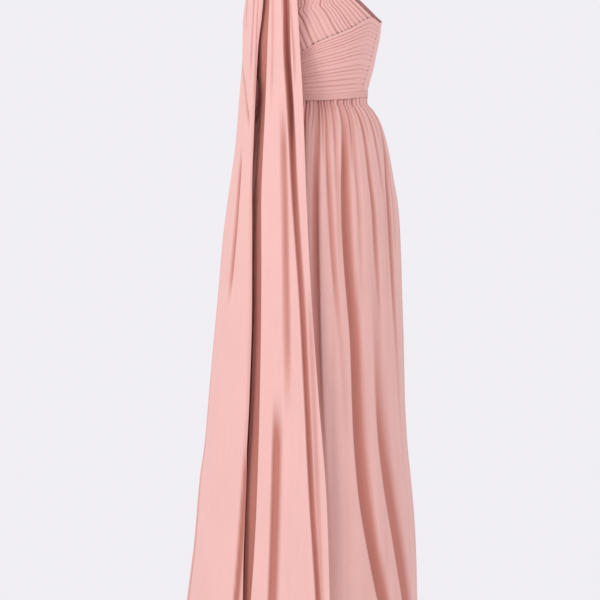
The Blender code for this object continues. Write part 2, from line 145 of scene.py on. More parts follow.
# share of the way down, angle in degrees, height
FRONT_ARMHOLE = [
    (0.00, -50.9, 0.000),
    (0.20, -49.0, -0.045),
    (0.45, -48.0, -0.110),
    (0.66, -60.0, -0.166),
    (0.84, -90.0, UNDERARM_Z),
    (1.00, -90.0, -0.281),
]
BACK_ARMHOLE = [
    (0.00, 230.9, 0.000),
    (0.20, 228.5, -0.050),
    (0.36, 229.0, -0.115),
    (0.47, 248.0, -0.166),
    (0.56, 270.0, UNDERARM_Z),
    (1.00, 270.0, -0.328),
]
LEFT_SEAM_ANGLES = (80.0, 70.0)
LEFT_SEAM_TOP_Z = -0.1835

# where the upper half's pleats meet the wrapped half's seam, as shares from the
# armhole to the neck, and how deep each is
UPPER_PLEATS = [
    (0.03, 0.6), (0.07, 0.5), (0.11, 0.8), (0.15, 0.5), (0.19, 0.7), (0.23, 0.6),
    (0.27, 0.9), (0.31, 0.5), (0.35, 0.7), (0.39, 0.6), (0.42, 0.8), (0.46, 1.2),
    (0.493, 0.7), (0.52, 0.5), (0.545, 0.8), (0.58, 0.5), (0.613, 1.3), (0.645, 0.7),
    (0.678, 0.6), (0.715, 0.8), (0.75, 1.0), (0.80, 0.7), (0.85, 0.8), (0.90, 0.6),
    (0.958, 1.1),
]
WRAP_PLEATS = 15
BACK_PLEATS = 20

# the skirt's large folds: angle in degrees at the heights of FOLD_HEIGHTS, depth in
# millimetres at the same heights, and width in millimetres to the right and to the left
FOLD_HEIGHTS = (-0.36, -0.60, -0.86, -1.16, -1.50)
SKIRT_FOLDS = [
    ((11, 9, 10, 14, 19), (3, 7, 5, 1, 0), 14, 4),
    ((17, 18, 24, 30, 36), (3, 5, 2, 0, 0), 5, 8),
    ((24, 24, 27, 30, 34), (3, 2, 0, 0, 0), 5, 8),
    ((33, 27, 32, 35, 52), (3, 10, 11, 12, 14), 4, 22),
    ((41, 39, 42, 45, 50), (3, 2, 0, 0, 0), 5, 9),
    ((52, 52, 56, 60, 64), (3, 5, 1, 0, 0), 7, 9),
    ((88, 70, 74, 80, 86), (3, 6, 3, 0, 0), 12, 6),
    ((46, 48, 50, 55, 74), (0, 0, 2, 8, 12), 7, 26),
    ((-14, -15, -16, -18, -22), (3, 7, 8, 9, 11), 16, 8),
    ((-34, -36, -38, -40, -44), (3, 6, 9, 11, 13), 8, 20),
    ((-60, -62, -64, -66, -68), (3, 6, 8, 9, 10), 18, 8),
    ((105, 106, 108, 112, 118), (3, 7, 9, 12, 15), 6, 24),
    ((124, 126, 130, 134, 138), (3, 6, 5, 2, 0), 14, 8),
    ((143, 145, 148, 152, 158), (3, 8, 10, 12, 14), 22, 7),
    ((168, 170, 172, 173, 176), (3, 6, 8, 10, 12), 8, 18),
    ((190, 191, 192, 194, 198), (3, 8, 6, 3, 0), 8, 14),
    ((207, 208, 210, 212, 215), (3, 7, 10, 12, 14), 22, 7),
    ((228, 230, 232, 234, 238), (3, 6, 4, 2, 0), 10, 10),
    ((247, 248, 248, 250, 252), (3, 6, 8, 10, 12), 8, 20),
]

# gathers that show under the band: angle at the band and where it fades, in degrees,
# the height where it fades, and its depth and half width in millimetres
FRONT_GATHERS = [
    (-2.0, -2.5, -0.56, 5.0, 3.0),
    (1.5, 1.0, -0.40, 3.5, 2.4),
    (6.0, 5.0, -0.42, 3.5, 2.4),
    (11.0, 9.0, -0.80, 5.0, 3.2),
    (13.8, 14.2, -0.50, 4.5, 2.6),
    (17.5, 17.0, -0.62, 5.0, 2.8),
    (20.5, 20.0, -0.44, 3.5, 2.4),
    (24.8, 23.4, -0.56, 5.0, 2.8),
    (28.0, 26.0, -0.43, 3.5, 2.4),
    (33.4, 26.5, -0.70, 5.0, 3.0),
    (37.0, 32.0, -0.42, 3.0, 2.2),
    (41.3, 36.0, -0.53, 5.0, 3.0),
    (45.3, 41.0, -0.45, 4.0, 2.6),
    (49.0, 46.0, -0.42, 3.0, 2.2),
    (53.0, 51.5, -0.62, 5.0, 3.4),
    (58.5, 56.0, -0.45, 3.5, 2.6),
    (65.0, 64.5, -0.55, 5.0, 3.0),
    (73.0, 71.0, -0.47, 3.5, 2.6),
    (84.0, 75.0, -0.70, 5.0, 3.2),
]

# the drape's two falls: height, reach of the front fall's right and left edge, reach
# of its main fold, and reach of the side fall's front edge; the front fall's cloth
# runs on into the valley between the two, and is tucked under the side fall
FALL_EDGES = [
    (0.006, -0.0990, -0.0660, -0.0800, -0.1030),
    (-0.135, -0.0968, -0.0362, -0.0638, -0.1085),
    (-0.2415, -0.1010, -0.0298, -0.0617, -0.1191),
    (-0.350, -0.1053, -0.0234, -0.0553, -0.1255),
    (-0.561, -0.1134, -0.0160, -0.0440, -0.1319),
    (-0.773, -0.1138, -0.0053, -0.0290, -0.1319),
    (-0.967, -0.1170, 0.0085, -0.0190, -0.1370),
    (-1.200, -0.1234, 0.0266, -0.0074, -0.1479),
    (-1.327, -0.1300, 0.0309, 0.0010, -0.1500),
    (-1.412, -0.1362, 0.0330, 0.0064, -0.1511),
    (-1.470, -0.1400, 0.0340, 0.0100, -0.1530),
]
TUCK = 0.007               # how far the front fall is tucked under the side fall
TOP_GAP = 0.004            # how far apart the two falls start, on the shoulder
SIDE_FALL_BACK_ANGLE = -148.0

# how deep the valley between the falls and the drape's main fold sink, by height
FALL_DEPTHS = [
    (0.006, 0.0, 0.0),
    (-0.010, 0.0, 0.0),
    (-0.030, 0.004, 0.004),
    (-0.060, 0.008, 0.008),
    (-0.135, 0.011, 0.016),
    (-0.210, 0.010, 0.018),
    (-0.290, 0.016, 0.022),
    (-0.350, 0.024, 0.024),
    (-0.500, 0.020, 0.013),
    (-0.700, 0.018, 0.009),
    (-1.470, 0.018, 0.009),
]

# smaller folds of the falls, each from a height to a height: reach at its start,
# middle and end, depth in millimetres, width in millimetres on each side
FRONT_FALL_FOLDS = [
    (-0.010, -0.200, -0.0830, -0.0690, -0.0680, 3.0, 2.5, 5.0),
    (-0.015, -0.400, -0.0900, -0.0880, -0.0930, 2.0, 4.0, 7.0),
    (-0.330, -1.050, -0.0681, -0.0596, -0.0553, 5.0, 11.0, 11.0),
    (-0.960, -1.700, -0.0819, -0.0900, -0.1060, 8.0, 7.0, 20.0),
    (-0.010, -0.350, -0.0720, -0.0480, -0.0400, 2.5, 3.0, 5.0),
    (-0.700, -1.700, -0.0120, 0.0080, 0.0250, 3.0, 8.0, 8.0),
]
SIDE_FALL_FOLDS = [
    (-0.020, -0.320, -0.1180, -0.1290, -0.1355, 5.0, 2.5, 4.5),
    (-0.020, -0.420, -0.1120, -0.1225, -0.1300, 5.0, 2.5, 4.5),
    (-0.020, -0.220, -0.1240, -0.1400, -0.1420, 5.0, 3.0, 5.0),
    (-0.260, -0.420, -0.1532, -0.1447, -0.1362, 4.0, 4.0, 7.0),
    (-0.440, -0.800, -0.1532, -0.1660, -0.1830, 6.0, 9.0, 9.0),
    (-1.040, -1.800, -0.1440, -0.1700, -0.2100, 8.0, 4.0, 18.0),
]
# folds round the side and back: angle in degrees at the top and at the hem, depth in
# millimetres at the same two heights, width in millimetres on each side
SIDE_FALL_LONG_FOLDS = [
    (-84, -78, 3, 7, 8, 14),
    (-97, -93, 3, 6, 12, 6),
    (-108, -106, 3, 9, 14, 6),
    (-118, -119, 3, 5, 6, 10),
    (-130, -127, 3, 9, 6, 18),
    (-140, -139, 3, 6, 10, 6),
]


def smooth_track(positions, values):
    """A curve through the values that never swings past them."""
    order = np.argsort(positions)
    where = np.asarray(positions, dtype=float)[order]
    level = np.asarray(values, dtype=float)[order]
    rise = np.diff(level) / np.diff(where)
    slope = np.zeros_like(level)
    slope[0], slope[-1] = rise[0], rise[-1]
    before, after = rise[:-1], rise[1:]
    same_way = before * after > 0
    total = np.where(same_way, before + after, 1.0)
    slope[1:-1] = np.where(same_way, 2 * before * after / total, 0.0)

    def at(position):
        x = np.clip(position, where[0], where[-1])
        i = np.clip(np.searchsorted(where, x, side="right") - 1, 0, len(where) - 2)
        step = where[i + 1] - where[i]
        t = (x - where[i]) / step
        return (level[i] * (1 + 2 * t) * (1 - t) ** 2 + level[i + 1] * t * t * (3 - 2 * t)
                + step * t * (1 - t) * (slope[i] * (1 - t) - slope[i + 1] * t))

    return at


def column_track(rows, column):
    """One column of a table as a smooth curve of its first column."""
    return smooth_track([row[0] for row in rows], [row[column] for row in rows])


class Form:
    """A hollow body of oval sections, from a table of heights and half sizes."""

    def __init__(self, rows, right_ease=0.0):
        self.width = column_track(rows, 1)
        self.front = column_track(rows, 2)
        self.back = column_track(rows, 3)
        self.right_ease = right_ease

    def half_sizes(self, angle, z):
        """Half width and depth of the section that an angle in radians falls on."""
        hips = np.clip((WAIST_Z - z) / 0.1, 0.0, 1.0)
        ease = self.right_ease * hips * (0.5 - 0.5 * np.sin(angle))
        width = self.width(z) * (1 - ease)
        depth = np.where(np.cos(angle) > 0, self.front(z), self.back(z))
        return width, depth

    def points(self, angle, z, out=0.0):
        """Points on the form, moved out square to it by `out`."""
        width, depth = self.half_sizes(angle, z)
        across, along = width * np.sin(angle), -depth * np.cos(angle)
        lean = np.stack([np.sin(angle) * depth, -np.cos(angle) * width], axis=-1)
        lean /= np.linalg.norm(lean, axis=-1, keepdims=True)
        flat = np.stack([across, along], axis=-1) + lean * np.asarray(out)[..., None]
        return np.concatenate([flat, np.broadcast_to(z, angle.shape)[..., None]], axis=-1)

    def angle_at(self, reach, z):
        """The angle, in front, of a point that is seen at this reach."""
        along_x = self.width(z) * math.cos(VIEW_TURN)
        along_y = self.front(z) * math.sin(VIEW_TURN)
        radius = np.hypot(along_x, along_y)
        return np.arctan2(along_y, along_x) + np.arcsin(np.clip(reach / radius, -1, 1))


FIGURE_FORM = Form(FIGURE)
SKIRT_FORM = Form(SKIRT, RIGHT_EASE)
DRAPE_FORM = Form(DRAPE)


def spread(start, end, share):
    """The value a share of the way from start to end."""
    return start + (end - start) * share


def ease(share):
    """0 to 1 with soft ends."""
    share = np.clip(share, 0, 1)
    return share * share * (3 - 2 * share)


def waist_seam_z(angle):
    """The height of the seam under the band, which rises a little at the sides."""
    return WAIST_Z + SIDE_RISE * np.sin(angle) ** 2


def hump(distance, width_before, width_after):
    """1 in the middle of a fold, 0 past its width on either side."""
    width = np.where(distance < 0, width_before, width_after)
    t = np.clip(np.abs(distance) / width, 0, 1)
    return (1 - t * t) ** 2


def ripple(angle, z, waves, seed, drift=0.6):
    """Slow uneven waves across the cloth that wander a little on their way down."""
    draw = np.random.default_rng(seed)
    total = np.zeros(np.broadcast(angle, z).shape)
    for wave in waves:
        phase, lean, bend = draw.uniform(0, 2 * math.pi, 3)
        size = draw.uniform(0.6, 1.0)
        wander = drift * np.sin(2.2 * z + lean) + 0.5 * drift * np.sin(5.1 * z + bend)
        total += size * np.sin(wave * (angle + 0.12 * wander) + phase)
    return total / len(waves)


def pleat_relief(share, lines, depths, sharp=0.16):
    """Soft knife pleats between fold lines: 0 on each crest, -1 deep in each fold."""
    lines = np.concatenate([[0.0], lines, [1.0]])
    depths = np.concatenate([[0.0], depths, [0.0]])
    i = np.clip(np.searchsorted(lines, share, side="right") - 1, 0, len(lines) - 2)
    t = (share - lines[i]) / (lines[i + 1] - lines[i])
    behind = depths[i] * (1 - ease(t / sharp))
    ahead = depths[i + 1] * np.clip((t - 0.35) / 0.65, 0, 1) ** 2.4
    return -np.maximum(behind, ahead)


def uneven_lines(count, seed, wobble=0.22):
    """Fold lines about evenly spaced, each a little out of place, with their depths."""
    draw = np.random.default_rng(seed)
    steps = np.arange(1, count + 1) + draw.uniform(-wobble, wobble, count)
    return steps / (count + 1), draw.uniform(0.6, 1.1, count)


def patch(left, right, top, bottom, u, v):
    """A smooth sheet between four edges, each a function of its own share."""
    across = (1 - u)[..., None] * left(v) + u[..., None] * right(v)
    down = (1 - v)[..., None] * top(u) + v[..., None] * bottom(u)
    zero, one = np.zeros(1), np.ones(1)
    corners = ((1 - u) * (1 - v))[..., None] * top(zero) + (u * (1 - v))[..., None] * top(one)
    corners += ((1 - u) * v)[..., None] * bottom(zero) + (u * v)[..., None] * bottom(one)
    return across + down - corners


def edge_by_table(rows):
    """An edge of angle and height, from share, degrees and height."""
    angle, height = column_track(rows, 1), column_track(rows, 2)
    return lambda v: np.stack([np.radians(angle(v)), height(v)], axis=-1)


def wrap_seam_edge(u):
    """Angle and height along the seam where the wrapped half meets the upper one."""
    angles = [FIGURE_FORM.angle_at(reach, z) for reach, z in WRAP_SEAM]
    angles[0] = math.radians(-90)
    heights = [z for reach, z in WRAP_SEAM]
    shares = np.linspace(0, 1, len(WRAP_SEAM))
    return np.stack([smooth_track(shares, angles)(u), smooth_track(shares, heights)(u)], axis=-1)


def front_neckline(v):
    """The straight slanting neckline, from the shoulder to the wrapped half's seam."""
    seam_reach, seam_z = WRAP_SEAM[-1]
    reach, z = spread(STRAP_NECK_REACH, seam_reach, v), spread(0.0, seam_z, v)
    return np.stack([FIGURE_FORM.angle_at(reach, z), z], axis=-1)


def shoulder_edge(u, turned=False):
    """The shoulder seam: from the arm to the neck in front, turned round behind."""
    ends = STRAP_ARM_REACH, STRAP_NECK_REACH
    reach = spread(ends[1], ends[0], u) if turned else spread(ends[0], ends[1], u)
    angle = np.arcsin(reach / FIGURE[0][1])
    return np.stack([math.pi - angle if turned else angle, np.zeros_like(u)], axis=-1)


def turned_edge(distance, width=0.005, height=0.0007):
    """How far a turned and stitched edge stands up, by distance from the edge."""
    return height * (1 - ease((distance - width) / 0.0012))


def bodice_front_upper(u, v):
    """The half that hangs from the shoulder, its pleats fanning down to the seam."""
    lower = lambda share: wrap_seam_edge(share) + np.array([0.0, SEAM_GAP])
    angle, z = np.moveaxis(patch(edge_by_table(FRONT_ARMHOLE), front_neckline,
                                 shoulder_edge, lower, u, v), -1, 0)
    lines, depths = np.array(UPPER_PLEATS).T
    drawn_in = 0.012 * np.sin(9 * u + 5 * v) * v * (1 - v)
    deep = spread(0.0008, 0.0034, ease(v * 1.3))
    relief = pleat_relief(u + drawn_in, lines, depths) * deep
    relief += 0.0004 * ripple(60 * u, z, (1.0, 1.7, 2.9), 11) * ease(v * 2)
    edge = turned_edge((1 - u) * spread(0.06, 0.25, v)) + turned_edge(u * spread(0.06, 0.2, v))
    return FIGURE_FORM.points(angle, np.minimum(z, -0.0002), CAD_WALL + relief + edge), relief


def wrap_top(u):
    """The wrapped half's upper edge: the seam, then the neckline to the side seam."""
    along_seam = wrap_seam_edge(np.clip(u / WRAP_SEAM_SHARE, 0, 1)) - np.array([0.0, SEAM_GAP])
    end = np.array([math.radians(LEFT_SEAM_ANGLES[0]), LEFT_SEAM_TOP_Z])
    past = np.clip((u - WRAP_SEAM_SHARE) / (1 - WRAP_SEAM_SHARE), 0, 1)[..., None]
    return along_seam * (1 - past) + end * past


def wrap_bottom(u):
    angle = np.radians(spread(-90.0, LEFT_SEAM_ANGLES[1], u))
    return np.stack([angle, waist_seam_z(angle) + BAND_HEIGHT - 0.001], axis=-1)


def straight_edge(start, end):
    return lambda v: spread(np.asarray(start), np.asarray(end), v[..., None])


def bodice_front_wrap(u, v):
    """The half that crosses the front, its pleats running from side to side."""
    one, zero = np.ones(1), np.zeros(1)
    right = straight_edge(wrap_top(zero)[0], wrap_bottom(zero)[0])
    left = straight_edge(wrap_top(one)[0], wrap_bottom(one)[0])
    angle, z = np.moveaxis(patch(right, left, wrap_top, wrap_bottom, u, v), -1, 0)
    lines, depths = uneven_lines(WRAP_PLEATS, 5)
    sway = 0.010 * np.sin(7.0 * u + 4.0 * v) * np.sin(math.pi * v)
    deep = spread(0.0014, 0.0030, u) * spread(1.0, 0.45, ease((u - 0.75) / 0.25))
    relief = pleat_relief(1 - np.clip(v + sway, 0, 1), 1 - lines[::-1], depths[::-1]) * deep
    relief += 0.0003 * ripple(40 * v, 4 * u, (1.0, 1.9, 3.1), 12)
    room = SEAM_GAP / 2 / FIGURE_FORM.width(z)
    return FIGURE_FORM.points(angle + room * (1 - 2 * u), z, CAD_WALL + relief), relief


def back_left_edge(v):
    """The back's slanting neckline, then the left side seam."""
    turn_share = 0.56
    down = np.clip(v / turn_share, 0, 1)
    seam_top = math.radians(LEFT_SEAM_ANGLES[0])
    top_reach = FIGURE_FORM.width(LEFT_SEAM_TOP_Z) * math.sin(seam_top)
    lowered = np.sin(down * math.pi / 2)
    reach, z = spread(STRAP_NECK_REACH, top_reach, lowered), LEFT_SEAM_TOP_Z * lowered
    behind = math.pi - np.arcsin(np.clip(reach / FIGURE_FORM.width(z), -1, 1))
    past_side = np.clip((down - 0.75) / 0.25, 0, 1) ** 2
    angle = behind + (2 * seam_top - math.pi) * past_side
    below = np.clip((v - turn_share) / (1 - turn_share), 0, 1)
    waist_angle = math.radians(LEFT_SEAM_ANGLES[1])
    waist_z = waist_seam_z(waist_angle) + BAND_HEIGHT - 0.001
    return np.stack([angle + (waist_angle - seam_top) * below,
                     z + (waist_z - LEFT_SEAM_TOP_Z) * below], axis=-1)


def back_bottom(u):
    angle = np.radians(spread(LEFT_SEAM_ANGLES[1], 270.0, u))
    return np.stack([angle, waist_seam_z(angle) + BAND_HEIGHT - 0.001], axis=-1)


def bodice_back(u, v):
    """The back, pleated from the shoulder, with the plain left side under the arm."""
    top = lambda share: shoulder_edge(share, turned=True)
    angle, z = np.moveaxis(patch(back_left_edge, edge_by_table(BACK_ARMHOLE), top,
                                 back_bottom, u, v), -1, 0)
    lines, depths = uneven_lines(BACK_PLEATS, 8)
    plain_side = (1 - ease((u - 0.22) / 0.3)) * ease(v / 0.4)
    deep = spread(0.0008, 0.0026, ease(v * 1.3)) * (1 - plain_side)
    relief = pleat_relief(u, lines, depths) * deep
    relief += 0.0003 * ripple(50 * u, z, (1.0, 1.7, 2.9), 13) * ease(v * 2)
    edge = turned_edge(u * spread(0.06, 0.38, v)) * (v < 0.56)
    room = SEAM_GAP / 2 / FIGURE_FORM.width(z)
    shown = FIGURE_FORM.points(angle + room * (1 - 2 * u), np.minimum(z, -0.0002),
                               CAD_WALL + relief + edge)
    return shown, relief


def waistband(u, v):
    """The band round the waist, ribbed by rows of edge stitching."""
    angle = 2 * math.pi * u
    z = waist_seam_z(angle) + BAND_HEIGHT * (1 - v)
    ribs = 0.00035 * (np.cos(2 * math.pi * 5 * v) - 1)
    puckers = 0.0003 * np.sin(math.pi * v) * ripple(angle, z, (97, 131, 173), 14, 0)
    return FIGURE_FORM.points(angle, z, CAD_WALL + BAND_STAND_OFF + ribs + puckers), ribs


def hidden_gathers():
    """Gathers like the ones in front, for the right side and the back."""
    draw = np.random.default_rng(21)
    rows, angle = [], 90.0
    while angle < 356.0:
        end = angle + draw.uniform(-2.5, 2.5)
        long_one = draw.uniform() < 0.45
        fades = draw.uniform(-0.70, -0.52) if long_one else draw.uniform(-0.47, -0.40)
        rows.append((angle, end, fades, draw.uniform(4.2, 5.2) if long_one else
                     draw.uniform(2.8, 3.8), draw.uniform(2.4, 3.3)))
        angle += draw.uniform(4.0, 6.6)
    return rows


def gather_depth(angle, z):
    """How far the gathers under the band sink the cloth."""
    width, depth = SKIRT_FORM.half_sizes(angle, z)
    radius = (width + depth) / 2
    sunk = np.zeros_like(angle)
    for start, end, fades, deep, half_width in FRONT_GATHERS + hidden_gathers():
        share = np.clip((WAIST_Z - z) / (WAIST_Z - fades), 0, 1)
        middle = np.radians(spread(start, end, share ** 0.7))
        turn = np.mod(angle - middle + math.pi, 2 * math.pi) - math.pi
        grown = half_width * 0.001 * (1 + 1.6 * share)
        strength = deep * 0.001 * (1 - share ** 1.6)
        sunk = np.maximum(sunk, strength * hump(turn * radius, grown * 0.8, grown * 1.2))
    return sunk


def skirt_fold_depth(angle, z):
    """How far the large folds sink the skirt's cloth."""
    width, depth = SKIRT_FORM.half_sizes(angle, z)
    radius = (width + depth) / 2
    sunk = np.zeros_like(angle)
    for angles, depths, width_before, width_after in SKIRT_FOLDS:
        middle = np.radians(smooth_track(FOLD_HEIGHTS, angles)(z))
        turn = np.mod(angle - middle + math.pi, 2 * math.pi) - math.pi
        fold = smooth_track(FOLD_HEIGHTS, depths)(z) * 0.001
        widen = spread(1.0, 1.7, np.clip((WAIST_Z - z) / 1.15, 0, 1))
        shape = hump(turn * radius, width_before * widen * 0.001, width_after * widen * 0.001)
        sunk = np.maximum(sunk, fold * shape)
    return sunk


def skirt_points(angle, v):
    """Skirt cloth: gathered into the band, falling in long uneven folds."""
    top = waist_seam_z(angle) - SEAM_GAP
    z = spread(top, HEM_Z, v ** 1.35)
    gathers = gather_depth(angle, z)
    folds = skirt_fold_depth(angle, z)
    seam = 1 - hump(np.cos(angle), 0.05, 0.05)
    soft = 0.0012 * ripple(angle, z, (17, 23, 31, 43), 15) * ease((WAIST_Z - z) / 0.2)
    fine = 0.0005 * ripple(angle, z, (61, 83, 113), 16) * ease((z + 0.95) / 0.45)
    hem = turned_edge((z - HEM_Z), 0.006, 0.0006)
    relief = seam * (soft + fine - np.maximum(gathers, folds)) - 0.0006 * (1 - seam)
    return SKIRT_FORM.points(angle, z, CAD_WALL + relief + hem), relief


def skirt_front(u, v):
    """From side seam to side seam across the front."""
    room = SEAM_GAP / 2 / WAIST_RADIUS
    return skirt_points(spread(-math.pi / 2 + room, math.pi / 2 - room, u), v)


def skirt_back(u, v):
    """From side seam to side seam across the back."""
    room = SEAM_GAP / 2 / WAIST_RADIUS
    return skirt_points(spread(math.pi / 2 + room, math.pi * 1.5 - room, u), v)


def fall_height(v):
    """The height of a row of a fall, with closer rows near the shoulder."""
    return spread(DRAPE[0][0], DRAPE_HEM_Z, v ** 1.6)


def fold_by_reach(angle, z, row):
    """One fold of a fall, from its start to its end, fading in and out."""
    z_start, z_end, reach_start, reach_middle, reach_end, deep, before, after = row
    share = np.clip((z - z_start) / (z_end - z_start), 0, 1)
    reach = ((1 - share) * (1 - 2 * share) * reach_start + 4 * share * (1 - share) * reach_middle
             + share * (2 * share - 1) * reach_end)
    distance = (angle - DRAPE_FORM.angle_at(reach, z)) * DRAPE_FORM.half_sizes(angle, z)[1]
    strength = ease(share / 0.18) * ease((1 - share) / 0.3) * deep * 0.001
    return strength * hump(distance, before * 0.001, after * 0.001)


def drape_front(u, v):
    """The fall in front: one broad fold laid over a strip, and a valley on its right."""
    z = fall_height(v)
    valley_edge, outer, main_fold, side_edge = [
        column_track(FALL_EDGES, column)(z) for column in (1, 2, 3, 4)]
    tuck = (TUCK + TOP_GAP) * ease(-z / 0.15) - TOP_GAP
    reach = spread(side_edge - tuck, outer, u)
    valley = 1 - ease((reach - valley_edge + 0.003) / 0.006)
    fold = hump(reach - main_fold, 0.004, 0.014)
    valley_depth, fold_depth = column_track(FALL_DEPTHS, 1)(z), column_track(FALL_DEPTHS, 2)(z)
    sunk = np.maximum(valley_depth * valley, fold_depth * fold)
    angle = DRAPE_FORM.angle_at(reach, z)
    for row in FRONT_FALL_FOLDS:
        sunk = np.maximum(sunk, fold_by_reach(angle, z, row))
    soft = 0.0010 * ripple(angle * 3, z, (11, 17, 29), 17) * ease(-z / 0.15)
    hem = turned_edge(z - DRAPE_HEM_Z, 0.003, 0.0005)
    return DRAPE_FORM.points(angle, z, CAD_WALL + soft + hem - sunk), -sunk


def drape_side(u, v):
    """The fall over the right side, from behind the armhole round to the front fall."""
    z = fall_height(v)
    front_edge = DRAPE_FORM.angle_at(column_track(FALL_EDGES, 4)(z), z)
    angle = spread(math.radians(SIDE_FALL_BACK_ANGLE), front_edge, u)
    width, depth = DRAPE_FORM.half_sizes(angle, z)
    drop = np.clip(-z / 1.4, 0, 1)
    sunk = 0.002 * hump(u - 1, 0.03, 1.0)
    away_from_seam = ease(-z / 0.08)
    for at_top, at_hem, deep_top, deep_hem, before, after in SIDE_FALL_LONG_FOLDS:
        distance = (angle - np.radians(spread(at_top, at_hem, drop))) * (width + depth) / 2
        shape = hump(distance, 0.001 * before * (1 + drop), 0.001 * after * (1 + drop))
        deep = 0.001 * spread(deep_top, deep_hem, drop) * away_from_seam
        sunk = np.maximum(sunk, deep * shape)
    for row in SIDE_FALL_FOLDS:
        sunk = np.maximum(sunk, fold_by_reach(angle, z, row))
    soft = 0.0010 * ripple(angle * 2, z, (13, 19, 31), 18) * away_from_seam
    hem = turned_edge(z - DRAPE_HEM_Z, 0.003, 0.0005)
    return DRAPE_FORM.points(angle, z, CAD_WALL + soft + hem - sunk), -sunk


def chiffon_group():
    """Crinkled chiffon: fine threads, crinkle, and painted shade that deepens the colour in the
    folds.
    """
    group = bpy.data.node_groups.new("chiffon_weave_and_fold_shade", "ShaderNodeTree")
    face = group.interface
    # the second colour input is painted shade, mixed in by the fold mask where the cloth sinks
    # into its folds
    for name, kind, value in (("Colour", "NodeSocketColor", (0.8, 0.5, 0.45, 1)),
                              ("Fold shade colour", "NodeSocketColor", (0.6, 0.25, 0.2, 1)),
                              ("Fold", "NodeSocketFloat", 0.0),
                              ("Place", "NodeSocketVector", (0, 0, 0)),
                              ("Crinkle", "NodeSocketFloat", 1.0)):
        face.new_socket(name, in_out="INPUT", socket_type=kind).default_value = value
    for name, kind in (("Colour", "NodeSocketColor"), ("Roughness", "NodeSocketFloat"),
                       ("Height", "NodeSocketFloat")):
        face.new_socket(name, in_out="OUTPUT", socket_type=kind)
    nodes, links = group.nodes, group.links
    given, put = nodes.new("NodeGroupInput"), nodes.new("NodeGroupOutput")

    def noise(scale, stretch, detail, roughness=0.5):
        mapping = nodes.new("ShaderNodeMapping")
        mapping.inputs["Scale"].default_value = stretch
        texture = nodes.new("ShaderNodeTexNoise")
        texture.inputs["Scale"].default_value = scale
        texture.inputs["Detail"].default_value = detail
        texture.inputs["Roughness"].default_value = roughness
        links.new(given.outputs["Place"], mapping.inputs["Vector"])
        links.new(mapping.outputs["Vector"], texture.inputs["Vector"])
        return texture.outputs["Fac"]

    def maths(operation, first, second, clamp=False):
        node = nodes.new("ShaderNodeMath")
        node.operation = operation
        node.use_clamp = clamp
        for socket, value in zip(node.inputs, (first, second)):
            if isinstance(value, (int, float)):
                socket.default_value = value
            else:
                links.new(value, socket)
        return node.outputs[0]

    def mix(blend, share, first, second):
        node = nodes.new("ShaderNodeMix")
        node.data_type = "RGBA"
        node.blend_type = blend
        sockets = [s for s in node.inputs if s.enabled]
        for socket, value in zip(sockets, (share, first, second)):
            if isinstance(value, (int, float)):
                socket.default_value = value
            else:
                links.new(value, socket)
        return [s for s in node.outputs if s.enabled][0]

    cloudy = noise(9.0, (1, 1, 1), 3.0)
    streaks = noise(60.0, (6, 0.35, 1), 4.0, 0.6)
    crinkle = noise(420.0, (1.0, 0.55, 1), 5.0, 0.65)
    threads = nodes.new("ShaderNodeTexWave")
    threads.inputs["Scale"].default_value = 900.0
    threads.inputs["Distortion"].default_value = 1.5
    links.new(given.outputs["Place"], threads.inputs["Vector"])

    # painted shade: the dark warm colour darkens the cloth where it is sunk in its folds
    fold_shaded = mix("MIX", given.outputs["Fold"], given.outputs["Colour"],
                 given.outputs["Fold shade colour"])
    shade = maths("ADD", maths("MULTIPLY", cloudy, 0.10), maths("MULTIPLY", streaks, 0.10))
    shade = maths("ADD", shade, maths("MULTIPLY", crinkle, 0.06))
    shade = maths("ADD", shade, 0.87)
    lit = nodes.new("ShaderNodeCombineColor")
    for socket in lit.inputs[:3]:
        links.new(shade, socket)
    toned = mix("MULTIPLY", 1.0, fold_shaded, lit.outputs[0])
    links.new(toned, put.inputs["Colour"])
    links.new(maths("ADD", maths("MULTIPLY", crinkle, 0.16), 0.62), put.inputs["Roughness"])
    height = maths("ADD", maths("MULTIPLY", crinkle, given.outputs["Crinkle"]),
                   maths("MULTIPLY", threads.outputs["Fac"], 0.12))
    links.new(height, put.inputs["Height"])
    return group


def chiffon(name, group, colour, fold_shade_colour, crinkle=1.0):
    """One of the dress's chiffons, from the shared chiffon group, with painted shade mixed into
    its folds.
    """
    material = bpy.data.materials.new(name)
    material.use_nodes = True
    nodes, links = material.node_tree.nodes, material.node_tree.links
    shader = nodes["Principled BSDF"]
    weave_with_shade = nodes.new("ShaderNodeGroup")
    weave_with_shade.node_tree = group
    weave_with_shade.inputs["Colour"].default_value = (*colour, 1)
    weave_with_shade.inputs["Fold shade colour"].default_value = (*fold_shade_colour, 1)
    weave_with_shade.inputs["Crinkle"].default_value = crinkle
    place = nodes.new("ShaderNodeUVMap")
    place.uv_map = "cloth"
    # the fold attribute is the mask for the painted shade in the folds
    fold = nodes.new("ShaderNodeAttribute")
    fold.attribute_name = "fold"
    bump = nodes.new("ShaderNodeBump")
    bump.inputs["Strength"].default_value = 0.35
    bump.inputs["Distance"].default_value = 0.0006
    links.new(place.outputs["UV"], weave_with_shade.inputs["Place"])
    links.new(fold.outputs["Fac"], weave_with_shade.inputs["Fold"])
    links.new(weave_with_shade.outputs["Colour"], shader.inputs["Base Color"])
    links.new(weave_with_shade.outputs["Roughness"], shader.inputs["Roughness"])
    links.new(weave_with_shade.outputs["Height"], bump.inputs["Height"])
    links.new(bump.outputs["Normal"], shader.inputs["Normal"])
    shader.inputs["Specular IOR Level"].default_value = 0.2
    shader.inputs["Sheen Weight"].default_value = 0.25
    shader.inputs["Sheen Roughness"].default_value = 0.45
    shader.inputs["Sheen Tint"].default_value = (1.0, 0.9, 0.87, 1)
    return material


